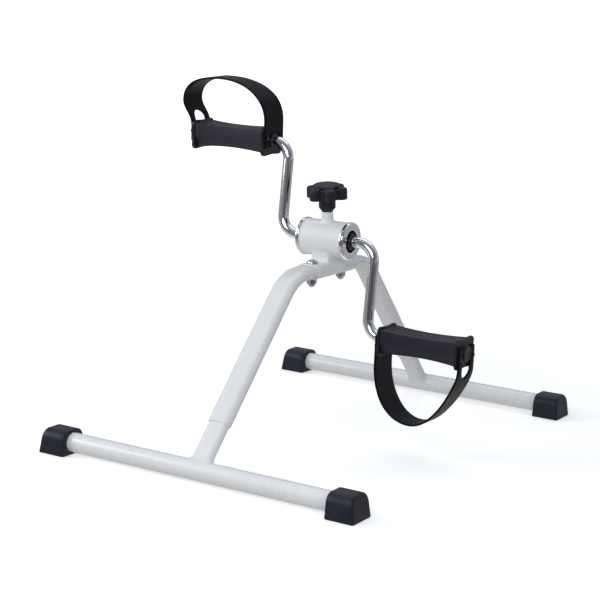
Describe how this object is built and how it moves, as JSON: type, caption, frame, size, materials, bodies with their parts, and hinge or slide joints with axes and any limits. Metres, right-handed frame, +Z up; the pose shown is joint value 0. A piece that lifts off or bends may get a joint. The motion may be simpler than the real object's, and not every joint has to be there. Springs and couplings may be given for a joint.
{
  "type": "pedal exerciser",
  "caption": "Free-standing pedal exerciser: two floor bars with rubber foot caps, a bent leg frame, a hub with a cranked axle, strap pedals and a lobed resistance knob.",
  "frame": {"origin": "on the floor, midway between the two floor bars and midway between the two hub rings", "axes": "+X along the floor bars and the axle, from the left pedal to the right pedal; +Y from the near floor bar to the far floor bar; +Z up"},
  "size_m": [0.3871, 0.517, 0.3895],
  "materials": {
    "white_coat": "gloss white powder coat",
    "cap_rubber": "matte moulded rubber",
    "chrome": "polished chrome plate",
    "zinc": "bright zinc plate",
    "bush_plastic": "turned plastic",
    "shoe_nylon": "plain nylon",
    "knob_plastic": "fine-grained moulded plastic",
    "pedal_plastic": "satin moulded plastic",
    "strap_rubber": "semi-gloss rubber"
  },
  "bodies": {
    "frame": {"front_base_bar": "white_coat", "rear_base_bar": "white_coat", "front_left_foot_cap": "cap_rubber", "front_right_foot_cap": "cap_rubber", "rear_left_foot_cap": "cap_rubber", "rear_right_foot_cap": "cap_rubber", "front_leg_stub": "white_coat", "rear_leg_stub": "white_coat", "front_leg": "white_coat", "rear_leg": "white_coat", "hub_bracket": "white_coat", "hub_shell": "white_coat", "knob_boss": "white_coat", "left_hub_ring": "chrome", "right_hub_ring": "chrome", "left_hub_bush": "bush_plastic", "right_hub_bush": "bush_plastic", "leg_bolts": "zinc", "leg_bolt_washers": "zinc", "leg_bolt_nuts": "zinc"},
    "crank": {"left_crank": "chrome", "right_crank": "chrome", "axle_sleeve": "zinc", "sleeve_pins": "zinc", "thrust_washers": "zinc", "pedal_collars": "bush_plastic", "pedal_push_nuts": "zinc"},
    "left_pedal": {"left_pedal_body": "pedal_plastic", "left_pedal_inner_plate": "pedal_plastic", "left_pedal_outer_plate": "pedal_plastic", "left_pedal_strap": "strap_rubber"},
    "right_pedal": {"right_pedal_body": "pedal_plastic", "right_pedal_inner_plate": "pedal_plastic", "right_pedal_outer_plate": "pedal_plastic", "right_pedal_strap": "strap_rubber"},
    "brake": {"brake_shoe": "shoe_nylon"},
    "knob": {"tension_knob": "knob_plastic", "knob_stud": "zinc"}
  },
  "joints": [
    {"name": "crank_spin", "type": "hinge", "parent": "frame", "child": "crank", "pos_m": [0, 0, 0.222], "axis": [1, 0, 0], "continuous": true},
    {"name": "left_pedal_spin", "type": "hinge", "parent": "crank", "child": "left_pedal", "pos_m": [-0.1316, 0.00963, 0.32204], "axis": [1, 0, 0], "continuous": true},
    {"name": "right_pedal_spin", "type": "hinge", "parent": "crank", "child": "right_pedal", "pos_m": [0.1316, -0.00963, 0.12196], "axis": [1, 0, 0], "continuous": true},
    {"name": "shoe_lift", "type": "slide", "parent": "frame", "child": "brake", "axis": [0, -0.1219, 0.9925], "range_m": [0, 0.0025]},
    {"name": "knob_turn", "type": "hinge", "parent": "brake", "child": "knob", "pos_m": [0, -0.00487, 0.2617], "axis": [0, -0.1219, 0.9925], "range_deg": [0, 720]}
  ],
  "couplings": [
    {"joint": "knob_turn", "follows": "shoe_lift", "rad_per_m": 5026.5}
  ]
}
